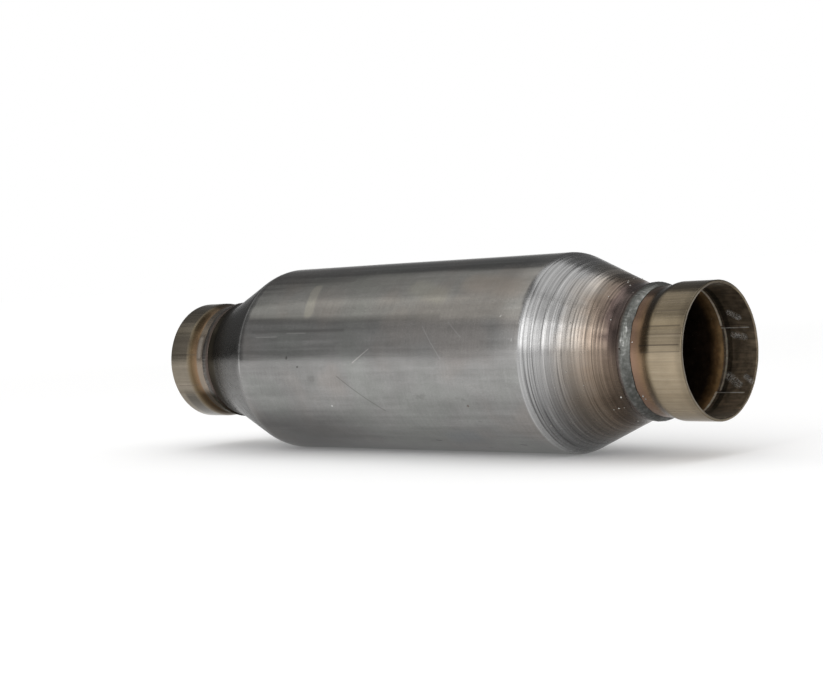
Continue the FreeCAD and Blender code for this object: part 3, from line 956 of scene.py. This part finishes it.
def make_spatter():
    """Small drops of weld metal stuck to the cones, as one piece."""
    draw = np.random.default_rng(SPATTER_SEED)
    drops = list(DROPS)
    for side in (1, -1):
        for _ in range(MORE_DROPS):
            far = MORE_DROPS_X - abs(draw.normal(0, MORE_DROPS_SPREAD))
            drops.append((side * far, draw.uniform(75, 325), draw.uniform(0.2, 0.45)))
    ball = bmesh.new()
    bmesh.ops.create_icosphere(ball, subdivisions=2, radius=1.0)
    unit = np.array([v.co[:] for v in ball.verts])
    triangles = np.array([[v.index for v in f.verts] for f in ball.faces])
    ball.free()
    points, faces = [], []
    for x, degrees, size in drops:
        angle = math.radians(degrees)
        surface = TUBE_RADIUS
        if abs(x) < NECK_END_X + BEAD_ON_TUBE:
            surface = np.interp(abs(x), SHELL_LINE[:, 0], SHELL_LINE[:, 1])
        out = np.array([0.0, -math.cos(angle), math.sin(angle)])
        shape = unit * size * draw.uniform(0.8, 1.2, 3)
        centre = np.array([x, 0.0, 0.0]) + out * (surface - 0.25 * size)
        faces += (triangles + len(points)).tolist()
        points += (shape + centre).tolist()
    mesh_object("weld_spatter", points, faces, WELD_METAL)


# ---------------------------------------------------------------- the rest

def dress_nodes():
    """Materials for the CAD solids that are shown as they are."""
    for end in SIDE:
        for name, material in (("mat", FIBRE), ("outer_seal", SEAL_WIRE),
                               ("inner_seal", SEAL_WIRE)):
            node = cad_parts[f"{end}_{name}"]
            node.data.materials.clear()
            node.data.materials.append(material)


make_shell()
for end in SIDE:
    make_socket(end)
    make_weld(end)
    honeycomb(end)
dress_nodes()
make_spatter()


# ---------------------------------------------------------------- studio

FLOOR_Z = CAD_BOX[0][2]
FLOOR_HALF = 30.0
FLOOR_COLOUR = (0.85, 0.85, 0.85, 1)
WHITE = (1, 1, 1, 1)

# The light that the floor shows to the camera and to metal but doesn't give: FLOOR_GLOW up to
# GLOW_START metres from the origin, and FAR_GLOW from GLOW_END on.
FLOOR_GLOW = 0.14
FAR_GLOW = 0.36
GLOW_START, GLOW_END = 0.4, 2.5

# The plain light from all round, and the studio's walls that metal mirrors, as brightness by
# height: (elevation in degrees, level).
AMBIENT = 0.76
SKY_FRONT = ((0, 1.0), (4, 0.95), (9, 0.76), (14, 0.68), (24, 0.62), (31, 0.42), (50, 0.25),
             (80, 0.15))
SKY_LEFT = ((0, 0.7), (2, 0.38), (6, 0.27), (10, 0.29), (16, 0.37), (24, 0.34), (31, 0.28),
            (50, 0.2), (80, 0.15))
SKY_SIDE = ((0, 0.05), (2, 0.05), (5, 0.12), (9, 0.17), (14, 0.14), (24, 0.12), (50, 0.2),
            (80, 0.15))
SKY_BACK = ((0, 1.0), (7, 0.95), (11, 0.3), (20, 0.13), (50, 0.12), (80, 0.12))
# Where one wall turns into the next, along X or Y of the way that is looked.
SIDE_TO_LEFT_X = (-0.90, -0.77)
LEFT_TO_FRONT_X = (-0.74, -0.61)
FRONT_TO_BACK_Y = (-0.15, 0.25)


def make_floor():
    """A pale floor that reads as white and keeps the object's shadow."""
    mesh = bpy.data.meshes.new("studio_floor")
    corners = [(FLOOR_HALF * x, FLOOR_HALF * y, FLOOR_Z)
               for x, y in ((-1, -1), (1, -1), (1, 1), (-1, 1))]
    mesh.from_pydata(corners, [], [(0, 1, 2, 3)])
    floor = bpy.data.objects.new("studio_floor", mesh)
    bpy.context.scene.collection.objects.link(floor)
    material = bpy.data.materials.new("pale_floor")
    n = Nodes(material)
    away = n.vector("LENGTH", n.node("ShaderNodeTexCoord").outputs["Object"])
    level = n.span(away, GLOW_START, GLOW_END, FLOOR_GLOW, FAR_GLOW)
    seen = n.seen("Camera", "Glossy", "Transmission")
    glow = n.node("ShaderNodeEmission", {"Strength": n.product(seen, level)})
    diffuse = n.node("ShaderNodeBsdfDiffuse", {"Color": FLOOR_COLOUR})
    both = n.node("ShaderNodeAddShader", {0: diffuse.outputs[0], 1: glow.outputs[0]})
    n.node("ShaderNodeOutputMaterial", {"Surface": both.outputs[0]})
    mesh.materials.append(material)


def make_world():
    """White for the camera, the studio's walls where metal mirrors them, and plain light for the
    rest."""
    world = bpy.data.worlds.new("studio")
    bpy.context.scene.world = world
    n = Nodes(world)
    way = n.node("ShaderNodeTexCoord").outputs["Generated"]
    x, y, z = n.node("ShaderNodeSeparateXYZ", {0: way}).outputs

    def wall(stops):
        levels = [(math.sin(math.radians(height)), (level,) * 3) for height, level in stops]
        return n.ramp(z, *levels)

    def light(colour, strength=1.0):
        made = n.node("ShaderNodeBackground", {"Color": colour, "Strength": strength})
        return made.outputs[0]

    def chosen(kinds, others, these):
        """these for rays of the kinds, and others for the rest."""
        return n.node("ShaderNodeMixShader", {0: n.seen(*kinds), 1: others, 2: these}).outputs[0]
    near = n.mix(n.span(x, *LEFT_TO_FRONT_X), wall(SKY_LEFT), wall(SKY_FRONT))
    turned = n.mix(n.span(y, *FRONT_TO_BACK_Y), near, wall(SKY_BACK))
    sky = n.mix(n.span(x, *SIDE_TO_LEFT_X), wall(SKY_SIDE), turned)
    unseen = chosen(("Glossy", "Transmission"), light(WHITE, AMBIENT), light(sky))
    n.node("ShaderNodeOutputWorld", {"Surface": chosen(("Camera",), unseen, light(WHITE))})


def direction(azimuth, elevation):
    """The unit vector at an azimuth, from -Y towards +X, and an elevation, in radians."""
    return Vector((math.sin(azimuth) * math.cos(elevation),
                   -math.cos(azimuth) * math.cos(elevation), math.sin(elevation)))


def soft_box(name, azimuth, elevation, distance, width, height, level, colour=(1, 1, 1)):
    """An area lamp that faces the object, placed in degrees and metres. level is its brightness
    where metal mirrors it."""
    lamp = bpy.data.lights.new(name, "AREA")
    lamp.shape = "RECTANGLE"
    lamp.size, lamp.size_y = width, height
    lamp.energy = level * math.pi * width * height
    lamp.color = colour
    towards = direction(math.radians(azimuth), math.radians(elevation))
    holder = bpy.data.objects.new(name, lamp)
    holder.location = towards * distance
    holder.rotation_mode = "QUATERNION"
    holder.rotation_quaternion = towards.to_track_quat("Z", "Y")
    bpy.context.scene.collection.objects.link(holder)


make_floor()
make_world()
soft_box("overhead", 130, 78.5, 1.5, 1.5, 1.5, 0.80)
soft_box("left_high", -55, 42, 1.8, 1.1, 0.50, 0.44, (1, 0.98, 0.90))
soft_box("left_top", -96, 51.5, 1.8, 1.25, 0.58, 0.38, (1, 0.98, 0.92))
soft_box("front", 2, 24, 2.0, 0.9, 1.05, 1.80)
soft_box("front_high", 2, 50, 2.0, 0.9, 1.0, 1.0)


# ---------------------------------------------------------------- camera

# The camera looks from the inlet side and a little above the axis.
SENSOR_WIDTH = 36.0
FOCAL_SHARE = 2.1966        # focal length over image width
AZIMUTH, ELEVATION, ROLL = (math.radians(v) for v in (42.282, 2.066, -3.454))
DISTANCE = 972.76 * MM
# How far right of the view's middle, and below it, the body's middle is, over the distance.
AIM_RIGHT, AIM_DOWN = 0.0119674, 0.0100800


def make_camera():
    """The camera, aimed beside the body's middle and rolled a little."""
    data = bpy.data.cameras.new("camera")
    data.sensor_width = SENSOR_WIDTH
    data.lens = SENSOR_WIDTH * FOCAL_SHARE
    camera = bpy.data.objects.new("camera", data)
    back = direction(AZIMUTH, ELEVATION)
    level = (-back).cross(Vector((0, 0, 1))).normalized()
    upright = level.cross(-back)
    right = level * math.cos(ROLL) + upright * math.sin(ROLL)
    up = -level * math.sin(ROLL) + upright * math.cos(ROLL)
    place = Vector((MIDDLE * MM, 0, 0)) + DISTANCE * (back - AIM_RIGHT * right + AIM_DOWN * up)
    turn = Matrix((right, up, back)).transposed()
    camera.matrix_world = Matrix.Translation(place) @ turn.to_4x4()
    bpy.context.scene.collection.objects.link(camera)
    bpy.context.scene.camera = camera


make_camera()
bpy.context.scene.view_settings.view_transform = "Standard"
